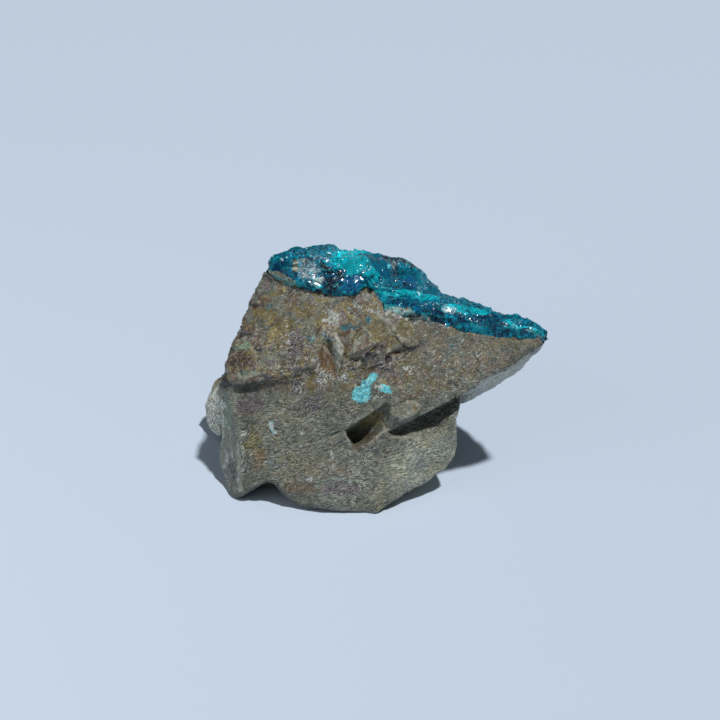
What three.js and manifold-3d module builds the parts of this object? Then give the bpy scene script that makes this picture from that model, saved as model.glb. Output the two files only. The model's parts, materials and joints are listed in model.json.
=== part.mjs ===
// Raw chrysocolla: a broken chip of olive-grey host rock with a crust of blue-green
// chrysocolla over its crest and down its back.
//
// Millimetres, +Z up. The stone rests on its flat underside at z = 0. Its broad broken
// face looks along -Y and leans back; a thin wing reaches out to +X. The origin is the
// bottom centre of the whole stone's bounding box.
//
// Each mass is the convex block between a few named corners. Blocks are joined, the
// notches, hollows and pocket are cut out of them, and every surface is then divided
// and bent by smooth noise, so that no face stays a true plane except the underside.

import * as THREE from "three";
import { ConvexGeometry } from "three/addons/geometries/ConvexGeometry.js";
import { SimplexNoise } from "three/addons/math/SimplexNoise.js";
import { TessellateModifier } from "three/addons/modifiers/TessellateModifier.js";
import { mergeVertices } from "three/addons/utils/BufferGeometryUtils.js";
import Module from "manifold-3d";

// --- Driving dimensions ------------------------------------------------------------

const FACE_LEAN = THREE.MathUtils.degToRad(30); // the broken face, back from upright
const SEAM = 0.4; // room between the crust and the rock that it grew on

const ROCK_EDGE = 4.0; // longest triangle edge on the rock
const CRUST_EDGE = 3.0; // and on the crust
const BEND = { reach: 0.6, wavelength: 14 }; // slow waves, the same in rock and crust
const ROCK_GRAIN = { reach: 0.35, wavelength: 6 }; // roughness of the broken rock
const UNDERSIDE_FADE = 2.5; // the waves die out over this height above the underside

const SWELL = { reach: 1.5, wavelength: 6.5 }; // rounded lumps that stand out of the crust
const SWELL_RISE = { from: 0.05, full: 0.5 }; // they fade where the crust faces level or down

// --- Helpers -----------------------------------------------------------------------

/** A corner in the stone's own axes. */
function at(x, y, z) {
  return new THREE.Vector3(x, y, z);
}

/** A corner on the leaning face: across it, up its slope, and proud of it. */
function face(across, up, proud) {
  const sin = Math.sin(FACE_LEAN);
  const cos = Math.cos(FACE_LEAN);
  return at(across, up * sin - proud * cos, up * cos + proud * sin);
}

/** Repeatable random numbers from 0 to 1. */
function randomFrom(seed) {
  let state = seed;
  return () => {
    state = (state * 1664525 + 1013904223) % 4294967296;
    return state / 4294967296;
  };
}

const wasm = await Module();
wasm.setup();

/** A closed geometry as a manifold-3d solid, for joining and cutting. */
function solidOf(geometry) {
  const bare = geometry.clone();
  bare.deleteAttribute("normal");
  bare.deleteAttribute("uv");
  const merged = mergeVertices(bare, 1e-4);
  return new wasm.Manifold(
    new wasm.Mesh({
      numProp: 3,
      vertProperties: merged.attributes.position.array,
      triVerts: new Uint32Array(merged.index.array),
    }),
  );
}

/** A manifold-3d solid back as a three.js geometry. */
function geometryOf(solid) {
  const mesh = solid.getMesh();
  const positions = new THREE.BufferAttribute(mesh.vertProperties, mesh.numProp);
  const geometry = new THREE.BufferGeometry();
  geometry.setAttribute("position", positions);
  geometry.setIndex(new THREE.BufferAttribute(mesh.triVerts, 1));
  return geometry;
}

function block(corners) {
  return solidOf(new ConvexGeometry(corners));
}

/** The block between the corners, grown by a margin on every side. */
function grownBlock(corners, margin) {
  const signs = [-margin, margin];
  const grown = [];
  for (const corner of corners)
    for (const dx of signs)
      for (const dy of signs)
        for (const dz of signs) grown.push(corner.clone().add(at(dx, dy, dz)));
  return block(grown);
}

function joined(solids) {
  return solids.reduce((whole, solid) => whole.add(solid));
}

// --- Host rock ---------------------------------------------------------------------

const lowerBlocks = {
  // The mass behind everything.
  core: [
    at(-24, 8, 0), at(-2, 4, 0), at(7, 12, 0), at(9, 20, 0), at(4, 29, 0),
    at(-8, 32, 0), at(-22, 29, 0), at(-26, 18, 0),
    face(-25, 12, -5), face(-20, 20, -3), face(-4, 16, -5), face(8, 20, -8),
    face(-22, 36, -7), face(-18, 43, -8), face(-8, 44, -9), face(4, 41, -9),
    at(-23, 35, 12), at(-5, 37, 13), at(12, 31, 12),
    at(-17, 38, 27), at(0, 39.5, 26), at(12, 34, 22),
  ],
  // The big front face, whose right half turns away a little and runs on under the wing.
  lowerFront: [
    at(-24.3, 5.4, 0), at(-10, 3.2, 0), at(-3.5, 1.3, 0), at(1, 1.5, 0), at(6.5, 8.5, 0),
    at(10, 18, 0), at(-20, 20, 0),
    face(-24.6, 2.8, -3.4), face(-23.6, 3.6, -2.3), face(-14.5, 2.9, -0.2),
    face(-8, 0.9, 0), face(-4.2, 0.4, 0.1), face(0.4, 0.3, -0.2), face(1.5, 7, 0.5),
    face(9.3, 5.9, -2.6), face(13.6, 9.8, -3.2), face(14.6, 17, -2.2), face(15.6, 21.8, -1.4),
    face(13.2, 16, 0), face(13.8, 20.4, 1.3),
    face(-23.7, 13, -1.3), face(-24, 20.8, -2), face(-12, 23.8, 0.2),
    face(-5.6, 15.1, 1), face(-4.4, 12.4, 0.9), face(3.5, 15.5, 1.2), face(8.5, 12.5, -0.2),
    face(9, 18, 0.6), at(13, 20, 14),
  ],
  // The narrow side that turns away to the left of the upright ridge.
  leftSide: [
    at(-25, 6, 0), at(-27, 14, 0), at(-20, 20, 0),
    face(-23.9, 3.5, -2.2), face(-23.9, 13.3, -0.7), face(-25, 21, -1.6),
    face(-27.6, 6.8, -7.6), face(-28, 11, -8), face(-27.6, 18, -7),
    face(-27, 23, -4.5), face(-22, 22, -8),
  ],
  // The pale lobe low at the back left.
  lobe: [
    at(-31.6, 28.6, 2.6), at(-31.8, 29.4, 5.6), at(-30.6, 31, 8.6), at(-30.4, 26, 1.4),
    at(-28.6, 32.6, 1.4), at(-29.6, 25.6, 5), at(-27, 33.6, 10), at(-28.6, 27, 9.6),
    at(-23, 22, 13), at(-22, 34, 2), at(-26.5, 20, 1), at(-20, 28, 15), at(-26, 24, 0),
    at(-24, 32, 0),
  ],
  // A broken step on the back.
  backStep: [
    at(-18, 31, 0), at(0, 32, 0), at(5, 32, 10), at(-16, 36.4, 14), at(-6, 37.8, 9),
    at(-4, 38.4, 15), at(-12, 37.6, 21), at(-16, 24, 8), at(4, 24, 8),
  ],
};

const upperBlocks = {
  // Lip over the pocket, from its sharp left corner up to the hanging chunk.
  ledge: [
    face(-5.8, 15, 1.1), face(2.4, 20.2, 1.6), face(3.4, 24, 1.7), face(-10.5, 25.2, 0.9),
    face(-12, 21, 0.4), face(-5, 17, -4), face(2, 21.4, -5), face(-10, 24, -4),
  ],
  // Chunk that hangs from the wing's lower left end.
  chunk: [
    face(1.8, 20.4, 1.8), face(3, 15.7, 2), face(6.6, 15.6, 2.2), face(9.2, 18.2, 2.6),
    face(9, 21, 3), face(4, 20.8, 2.8), face(3.8, 17.6, 3), face(3, 18, -3), face(8, 19, -3),
  ],
  // The rusty upper left, leaning back to the crest.
  upperLeft: [
    face(-26.8, 24, -3), face(-27.1, 26, -4.6), face(-26.2, 29.5, -5), face(-22.5, 35.3, -5),
    face(-22.2, 38.3, -5.8), face(-20, 43.2, -7.2), face(-12.6, 41.6, -3.4),
    face(-24.4, 22.8, -0.8), face(-17.5, 24, 1), face(-11, 26.6, 1.2),
    face(-9.4, 32, 0.7), face(-19.5, 31, -1.2), face(-8.4, 38.4, -2.2),
    face(-9, 20, -5), face(-24, 19, -8), face(-18, 42, -12), face(-8, 40, -8),
  ],
  // Chips of the middle, above the dark stitched ridge.
  middleTop: [
    face(-6, 26, 1.5), face(2.4, 29.4, 2.1), face(7.6, 30.2, 1.9), face(5.4, 35.8, 0),
    face(0, 38.2, -1.2), face(-5.4, 37, -0.8), face(-10, 38.4, -2), face(-8.6, 31.2, 0.7),
    face(-8, 26, -6), face(8, 28, -8), face(-6, 40, -9), face(4, 37, -8),
  ],
  beigeChip: [
    face(-5.4, 29.6, 0.8), face(-2.3, 33.8, 1.2), face(0.6, 30.6, 2.7), face(-2.4, 27.6, 2.7),
    face(-2, 30, -3),
  ],
  // And below the ridge, down to the lip of the pocket.
  middleLow: [
    face(-10.5, 25, 0.9), face(-5.6, 26.4, 0.9), face(2.6, 29.2, 1.2), face(8, 29.6, 1.4),
    face(5, 21, 2.2), face(-2, 20, 1.5), face(-8, 21.5, 0.8),
    face(-8, 22, -8), face(8, 21, -9), face(8, 26, -8),
  ],
  // The wing: a flat broken face that runs out to a sharp tip over the lower front.
  wing: [
    face(3, 21.4, 2.2), face(6.8, 17.2, 2.9), face(11, 19.1, 3.2), face(15.5, 21.8, 3.4),
    face(20, 24.8, 3.3), face(24.9, 27.7, 3.1), face(29.2, 30.5, 2.8), face(29.5, 31.4, 2.4),
    face(22.8, 32.2, 1.4), face(12.8, 34.6, 0), face(4.5, 36, -0.8), face(5, 27, 1.7),
    at(29, 15.6, 27.2), at(25.4, 19, 18.2), at(21.5, 19, 15), at(15.5, 18.5, 12.4),
    at(26, 20.5, 24), at(21.5, 26.5, 18.5), at(13, 31.5, 13.5), at(13.5, 33, 22),
    at(5, 20, 16), at(0, 30, 28),
  ],
};

const chips = {
  // Sharp-cornered pocket under the lip, deepest along its floor.
  pocket: [
    face(-5.7, 15, 4), face(-4.3, 12.4, 4), face(1.8, 15.9, 4), face(2.2, 19.8, 4),
    face(-4, 13.6, -2.6), face(-1, 14.6, -4.6), face(1, 15.6, -3.4), face(1, 18, -2),
  ],
  // Hollow under the front left, between the two feet.
  footArch: [
    at(-22.6, -2, -1), at(-15.6, -2, -1), at(-18.2, -2, 4.8), at(-21, -2, 2.6),
    at(-21.5, 9, -1), at(-16, 9, -1), at(-18.4, 8, 2),
  ],
  // Rust-brown hollow between the upper left and the chips of the middle.
  rustHollow: [
    face(-11.4, 31, 3), face(-7, 33, 3), face(-4.6, 26, 3), face(-10.2, 24.4, 3),
    face(-8.8, 30.4, -0.2), face(-7, 26.4, 0.1),
  ],
  // Notch in the left edge of the rusty slope.
  slopeNotch: [
    face(-24, 39.6, 0), face(-24, 34.4, 0), face(-16.6, 37.6, 0), face(-16.6, 35.8, 0),
    face(-24, 36.9, -8), face(-18, 36.7, -3.6),
  ],
  // Chip out of the right end of the stitched ridge.
  ridgeChip: [
    face(2, 29, 4), face(9, 31.6, 4), face(11.6, 29, 4), face(4, 26.8, 4),
    face(4.4, 28.6, 1), face(8.6, 29.2, 1.1),
  ],
};

/** Pale point of rock that stands up in front of the crust. */
const palePeak = [
  face(-5.6, 36.4, -0.9), face(-1.6, 40.6, -2), face(1.6, 37.4, -0.9), face(-2, 35, 0.3),
  face(-1.6, 39, -4.2), face(-4, 35, -4), face(1, 35, -4),
];

function makeRockBody() {
  const lower = joined(Object.values(lowerBlocks).map((corners) => block(corners)));
  const upper = joined(Object.values(upperBlocks).map((corners) => block(corners)));
  const cuts = joined(Object.values(chips).map((corners) => block(corners)));
  return lower.add(upper).subtract(cuts);
}

// --- Chrysocolla crust -------------------------------------------------------------

const crustBlocks = {
  // Sparkling lump at the left end of the crest.
  leftLump: [
    face(-19.2, 42.8, -5), face(-18.6, 45.4, -6.8), face(-14.6, 46.9, -5.8),
    face(-11.4, 47.5, -5.6), face(-8, 46.8, -5.6), face(-13.6, 40.5, -2),
    face(-7.2, 39, -0.8), face(-4.8, 38.6, -0.8), face(-12, 44, -2.4), face(-6, 43.6, -2),
    at(-18.8, 31, 33), at(-16, 36, 30.6), at(-4, 37, 31.5), at(-3, 27, 32.5),
    at(-17.5, 28.5, 32),
  ],
  // Smooth swelling in the middle of the crest.
  middleSwelling: [
    face(-8, 46.6, -6.2), face(-5.4, 46.6, -6), face(-1.8, 46.3, -6.4), face(1, 45.8, -7.6),
    face(-4.8, 38.6, -0.8), face(-0.2, 38.4, -0.8), face(2, 38.6, -1.4), face(-2.6, 43.2, -1.6),
    face(1.8, 42.6, -3.2),
    at(-6, 37, 31.5), at(2, 37, 30.5), at(-5, 27, 31.5), at(3, 26, 30),
  ],
  // Darker shoulder that falls to the right.
  rightShoulder: [
    face(-1.6, 46.2, -7.2), face(4.8, 44.6, -8.8), face(7.4, 43.4, -9.4), face(8.6, 41.8, -9.4),
    face(10.2, 39.6, -7.8), face(11.4, 37.6, -4.8), face(1.6, 37.6, -0.8), face(6, 37.6, -0.6),
    face(11, 36.8, -1.6),
    at(2, 38.5, 30), at(7.6, 36, 28), at(10, 31, 27.4), at(3, 25, 29.5), at(10.4, 24, 27.8),
  ],
  // The band along the wing, glassy on its front edge.
  wingBand: [
    face(0, 38.2, -0.8), face(1.6, 36.7, -0.2), face(5.6, 36.1, 0.1), face(12, 34.6, 0.6),
    face(18.2, 33, 1.3), face(22.8, 32.2, 1.8), face(27.1, 31.9, 2.5), face(29.6, 31.4, 3),
    face(12.6, 36.9, -2.4), face(16.6, 36.7, -1.6), face(20, 35.6, -0.6), face(24.3, 34.5, 0.4),
    face(26.9, 33.6, 1.4), face(30, 31.9, 2.7),
    at(2, 26, 28.6), at(13, 24, 26.2), at(20, 21, 26), at(28.6, 16.6, 26.9),
  ],
  // The sheet that slopes down the back of the crest.
  crestSheet: [
    at(-16.5, 29, 34.6), at(-4, 29.5, 35.6), at(6, 29.5, 33), at(8.6, 29, 31.6),
    at(-16, 38.6, 28.8), at(-2, 41, 27.4), at(6.6, 38.6, 25.6),
    at(-15.5, 37, 25.6), at(-2, 39.4, 24), at(7, 36.6, 22.4),
    at(-15, 28, 31.4), at(6, 27, 29.4), at(9.6, 27, 27.6),
  ],
  // And the lower sheet behind the wing.
  wingSheet: [
    at(8, 26, 28.6), at(13, 24, 29.4), at(20, 20.4, 29.4), at(27, 17.2, 28.8),
    at(7, 38, 25), at(13.6, 33.4, 23.6), at(20.6, 26.6, 25), at(27, 19.4, 27),
    at(7.6, 36, 22), at(13.2, 31.6, 20.8), at(20.2, 25, 22.2), at(26.6, 18.4, 25.2),
    at(9, 24, 26), at(20, 19, 26),
  ],
};

// --- Surfaces ----------------------------------------------------------------------

const noises = [11, 23, 37].map((seed) => new SimplexNoise({ random: randomFrom(seed) }));

/** A smooth random vector at a point, each part from -1 to 1. */
function waveAt(point, wavelength) {
  const p = point.clone().divideScalar(wavelength);
  const [x, y, z] = noises.map((noise) => noise.noise3d(p.x, p.y, p.z));
  return at(x, y, z);
}

/** Divides the surface and moves it by noise; the underside stays in its plane. */
function waved(solid, longestEdge, wave) {
  const divider = new TessellateModifier(longestEdge, 12);
  const geometry = divider.modify(geometryOf(solid));
  const position = geometry.attributes.position;
  const point = new THREE.Vector3();
  for (let i = 0; i < position.count; i++) {
    point.fromBufferAttribute(position, i);
    const shift = waveAt(point, wave.wavelength).multiplyScalar(wave.reach);
    shift.z *= THREE.MathUtils.clamp(point.z / UNDERSIDE_FADE, 0, 1);
    point.add(shift);
    position.setXYZ(i, point.x, point.y, point.z);
  }
  return solidOf(geometry);
}

/** Pushes the upward faces out into rounded lumps. */
function swollen(solid) {
  const geometry = geometryOf(solid);
  geometry.computeVertexNormals();
  const { position, normal } = geometry.attributes;
  const point = new THREE.Vector3();
  const outward = new THREE.Vector3();
  for (let i = 0; i < position.count; i++) {
    point.fromBufferAttribute(position, i);
    outward.fromBufferAttribute(normal, i);
    const facesUp = THREE.MathUtils.smoothstep(outward.z, SWELL_RISE.from, SWELL_RISE.full);
    const lump = Math.abs(waveAt(point, SWELL.wavelength).x);
    point.addScaledVector(outward, SWELL.reach * facesUp * lump);
    position.setXYZ(i, point.x, point.y, point.z);
  }
  return solidOf(geometry);
}

// --- The stone ---------------------------------------------------------------------

function makeStone() {
  const crustHulls = joined(Object.values(crustBlocks).map((corners) => block(corners)));
  const seat = joined(Object.values(crustBlocks).map((corners) => grownBlock(corners, SEAM)));
  const rough = waved(makeRockBody(), ROCK_EDGE, ROCK_GRAIN);
  const seated = rough.subtract(seat).add(block(palePeak));
  const rock = waved(seated, ROCK_EDGE, BEND);
  const crustBody = crustHulls.subtract(grownBlock(palePeak, SEAM));
  const crust = swollen(waved(crustBody, CRUST_EDGE, BEND));
  return { rock, crust };
}

function mesh(name, solid, colour, roughness) {
  const material = new THREE.MeshStandardMaterial({ color: colour, roughness, metalness: 0 });
  const made = new THREE.Mesh(geometryOf(solid), material);
  made.name = name;
  return made;
}

const { rock, crust } = makeStone();
const stone = new THREE.Group();
stone.add(mesh("host_rock", rock, "#6d6a59", 0.85));
stone.add(mesh("chrysocolla_crust", crust, "#0e7586", 0.25));

const bounds = new THREE.Box3().setFromObject(stone);
const middle = bounds.getCenter(new THREE.Vector3());
stone.position.set(-middle.x, -middle.y, -bounds.min.z);

export default stone;
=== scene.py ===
"""Raw chrysocolla: the surfaces of a broken chip of host rock and of the crust on its crest.

Each piece starts as a merged copy of its CAD node, is remeshed fine, and is then shaped by
small vertex moves, as by a sculpting brush: facets, grooves, broken grain and druse.
Marks on the front are placed on the leaning face: across it and up its slope, in
millimetres from its foot, and proud of it where they have depth.
"""

import json
import math

import bpy
import numpy as np
from bpy.props import FloatProperty, FloatVectorProperty, PointerProperty
from mathutils import Matrix, Vector, noise
from mathutils.bvhtree import BVHTree
from mathutils.kdtree import KDTree

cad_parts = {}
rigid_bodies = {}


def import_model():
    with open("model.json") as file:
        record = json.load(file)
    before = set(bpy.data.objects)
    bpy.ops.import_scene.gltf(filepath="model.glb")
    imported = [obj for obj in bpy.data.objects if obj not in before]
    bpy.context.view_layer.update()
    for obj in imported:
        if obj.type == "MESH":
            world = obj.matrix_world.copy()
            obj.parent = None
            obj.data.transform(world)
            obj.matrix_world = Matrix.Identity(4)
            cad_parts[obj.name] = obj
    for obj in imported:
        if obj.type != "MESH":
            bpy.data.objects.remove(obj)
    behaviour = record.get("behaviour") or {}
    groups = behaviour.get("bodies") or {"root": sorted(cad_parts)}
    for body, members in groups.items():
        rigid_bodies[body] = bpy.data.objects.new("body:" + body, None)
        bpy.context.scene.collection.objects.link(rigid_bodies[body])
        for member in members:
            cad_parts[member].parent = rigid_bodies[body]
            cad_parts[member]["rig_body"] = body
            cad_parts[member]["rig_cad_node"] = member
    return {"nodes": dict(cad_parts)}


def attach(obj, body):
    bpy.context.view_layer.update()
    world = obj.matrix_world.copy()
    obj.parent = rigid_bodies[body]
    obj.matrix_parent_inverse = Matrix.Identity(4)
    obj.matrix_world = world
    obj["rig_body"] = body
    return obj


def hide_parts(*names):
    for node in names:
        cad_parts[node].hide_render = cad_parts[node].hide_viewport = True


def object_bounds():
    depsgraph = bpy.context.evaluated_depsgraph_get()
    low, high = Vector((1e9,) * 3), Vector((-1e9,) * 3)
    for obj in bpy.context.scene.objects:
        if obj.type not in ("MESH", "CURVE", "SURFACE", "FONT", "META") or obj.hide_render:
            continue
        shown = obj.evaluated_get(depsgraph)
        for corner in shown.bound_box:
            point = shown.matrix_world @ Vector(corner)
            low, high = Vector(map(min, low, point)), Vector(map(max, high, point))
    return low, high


bl_info = {
    "name": "Raw chrysocolla",
    "version": (1, 0, 0),
    "blender": (4, 5, 0),
    "location": "3D View > Sidebar > Stone",
    "description": "Builds the surfaces of a raw chrysocolla specimen around its CAD solids",
    "category": "Add Mesh",
}

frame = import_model()
CAD_LOW, CAD_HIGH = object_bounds()

MM = 0.001

# The leaning face: its slope, and its foot, from the right and front sides of the CAD box.
FACE_LEAN = math.radians(30)
FACE_FOOT = Vector((CAD_HIGH.x - 30.2 * MM, CAD_LOW.y - 0.32 * MM, 0))
FACE_UP = Vector((0, math.sin(FACE_LEAN), math.cos(FACE_LEAN)))
FACE_OUT = Vector((0, -math.cos(FACE_LEAN), math.sin(FACE_LEAN)))

# The camera looks square at this place on the face, from this far, at a frame this wide.
SIGHT = (-2.8, 27.3)
SIGHT_DISTANCE = 300 * MM
FRAME_WIDTH = 126 * MM

# The way towards the key light, and the side light's place: across, up and proud of the face.
KEY_DIRECTION = Vector((0.3, -0.18, 1))
SIDE_LIGHT = (-170, 60, 120)
SIDE_LIGHT_WIDTH = 160 * MM
FLOOR_WIDTH = 3000 * MM

# Millimetres between which the streaky part below the crease, the wing, the wing's underside
# (painted pale as painted bounce light from the floor) and the broken grain fade in: across the
# face, up it, or above the floor.
BELOW_CREASE_UP = (24, 21)
WING_ACROSS = (3, 8)
WING_UP = (16, 20)
UNDER_WING_ACROSS = (13, 18)
UNDER_WING_HEIGHT = (8, 12)
GRAIN_HEIGHT = (0.05, 1.2)

# Seed of the noise that shifts painted edges.
EDGE_SEED = 1


def on_face(across, up, proud=0.0):
    """A point of the leaning face, in metres."""
    return FACE_FOOT + MM * (Vector((across, 0, 0)) + up * FACE_UP + proud * FACE_OUT)


EYE = on_face(*SIGHT) + SIGHT_DISTANCE * FACE_OUT


# --- Sizes and colours that a user would change -----------------------------------------


def linear(hex_colour):
    """An sRGB colour such as #7c7d76 as linear red, green, blue and alpha."""
    parts = [int(hex_colour[i:i + 2], 16) / 255 for i in (1, 3, 5)]
    curve = [c / 12.92 if c <= 0.04045 else ((c + 0.055) / 1.055) ** 2.4 for c in parts]
    return (*curve, 1)


def length_property(name, description, millimetres):
    """A length that the user can change."""
    return FloatProperty(
        name=name, description=description, default=millimetres * MM, unit="LENGTH", precision=5)


def colour_property(name, description, hex_colour):
    """A colour that the user can change."""
    return FloatVectorProperty(
        name=name, description=description, default=linear(hex_colour), subtype="COLOR", size=4,
        min=0, max=1)


class StoneShape(bpy.types.PropertyGroup):
    """Sizes of the stone's surface, in millimetres."""

    rock_mesh: length_property("Rock mesh", "Size of the rock's mesh", 0.306)
    crust_mesh: length_property("Crust mesh", "Size of the crust's mesh", 0.22)
    break_depth: length_property("Break depth", "Height of the broken grain on the rock", 0.3)
    druse_depth: length_property("Druse depth", "Height of the crust's crystals", 0.35)


class StoneColours(bpy.types.PropertyGroup):
    """Colours of the rock, of its stains and of the crust."""

    rock: colour_property("Rock", "Bare host rock", "#717770")
    olive: colour_property("Olive", "Rock stained olive by iron", "#786f42")
    rust: colour_property("Rust", "Brown iron stain", "#6a5640")
    orange: colour_property("Orange", "Bright iron stain in fresh breaks", "#664817")
    purple: colour_property("Purple", "Faint manganese stain", "#5f555d")
    # Chalk also stands for painted light: the lit lobe and right side strip, and the wing's
    # underside lit from the floor.
    chalk_and_painted_light: colour_property("Chalk", "Weathered pale rock", "#b3b9b3")
    green: colour_property("Green", "Faint copper stain", "#7e977f")
    turquoise: colour_property("Turquoise", "Films of chrysocolla on the rock", "#00a6c0")
    crust: colour_property("Crust", "Body of the crust", "#00455c")
    blue: colour_property("Blue", "Deep blue of the crust's bands", "#004c74")
    bright: colour_property("Bright", "Thin crust with light in it", "#0096a4")
    deep: colour_property("Deep", "Thick, dark crust", "#002c48")
    crystal: colour_property("Crystal", "Palest crystals of the druse", "#e4f1f1")


class StageLook(bpy.types.PropertyGroup):
    """The floor and the light."""

    key_strength: FloatProperty(
        name="Key light", description="Strength of the key light", default=2.8)
    key_angle: FloatProperty(
        name="Key angle", description="How wide the key light is in the sky",
        default=math.radians(3.5), subtype="ANGLE")
    key_colour: colour_property("Key colour", "Colour of the key light", "#fffdfc")
    fill_strength: FloatProperty(
        name="Fill light", description="Strength of the fill light", default=0.17)
    fill_colour: colour_property("Fill colour", "Colour of the fill light", "#c2ccd8")
    side_power: FloatProperty(
        name="Side light", description="Power of the soft light from the left", default=0.06,
        unit="POWER")
    floor: colour_property("Floor", "Colour of the floor", "#c4d3e4")


# --- Places and daubs on the leaning face -----------------------------------------------


def smooth(value, low, high):
    """Rises smoothly from 0 at low to 1 at high."""
    share = np.clip((value - low) / (high - low), 0, 1)
    return share * share * (3 - 2 * share)


class Daub:
    """A soft oval of paint on the leaning face: its middle, length, width and turn."""

    def __init__(self, across, up, length, width, turn=0, strength=1):
        self.middle = (across, up)
        self.radii = (length / 2, width / 2)
        self.turn = math.radians(turn)
        self.strength = strength

    def reach(self, place):
        """How far each place is from the middle, as a share of the oval."""
        dx, dy = (place - np.array(self.middle)).T
        cos, sin = math.cos(self.turn), math.sin(self.turn)
        along = (dx * cos + dy * sin) / self.radii[0]
        beside = (dy * cos - dx * sin) / self.radii[1]
        return np.hypot(along, beside)

    def at(self, place):
        """The paint at each place: full in the oval's middle, none past its rim."""
        return self.strength * (1 - smooth(self.reach(place), 0.55, 1.35))


def painted(place, rows):
    """The strongest of the daubs at each place."""
    values = np.zeros(len(place))
    for row in rows:
        values = np.maximum(values, Daub(*row).at(place))
    return values


def near_line(place, line, width):
    """1 on the line through the points, fading to 0 at that distance from it."""
    nearest = np.full(len(place), np.inf)
    for start, end in zip(line, line[1:]):
        start, end = np.array(start), np.array(end)
        step = end - start
        share = np.clip((place - start) @ step / (step @ step), 0, 1)
        gap = place - start - share[:, None] * step
        nearest = np.minimum(nearest, np.hypot(gap[:, 0], gap[:, 1]))
    return 1 - smooth(nearest, 0, width)


# --- Fields of noise, in millimetres ----------------------------------------------------


def chips(size):
    """A broken surface of flat chips about that wide: each one is a plane at its own tilt."""
    def height(point):
        place = point / size
        seed = noise.voronoi(place)[1][0]
        return (place - seed).dot(noise.cell_vector(seed) - Vector((0.5, 0.5, 0.5))) * 2
    return height


def crystals(size):
    """Close-set crystals about that wide, each rising to a blunt point."""
    def height(point):
        distances = noise.voronoi(point / size, distance_metric="MANHATTAN")[0]
        return min(distances[1] - distances[0], 1)
    return height


def waves(size, octaves=4):
    """Rough, rounded noise, from about -1 to 1."""
    return lambda point: noise.fractal(point / size, 1.0, 2.0, octaves)


# The broken grain of the rock and of the crust, and the crystals of the druse: each field, and
# its share of the depth.
ROCK_GRAIN = [(chips(4.5), 0.9), (chips(1.7), 0.6), (waves(1.2), 0.35)]
CRUST_GRAIN = [(chips(3.2), 0.6), (chips(1.1), 0.45), (waves(1.2), 0.2)]
DRUSE = (crystals(0.8), 0.7)

# How much lower the grain is in the rock's calm parts and in the crust's glass, how many fewer
# flecks the smooth facets have, and how strong edges are away from the chiselled facets.
CALM_ROCK = 0.62
CALM_GLASS = 0.75
FEWER_FLECKS = 0.85
SOFT_EDGES = 0.35


# --- Shaping and painting a piece -------------------------------------------------------


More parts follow.
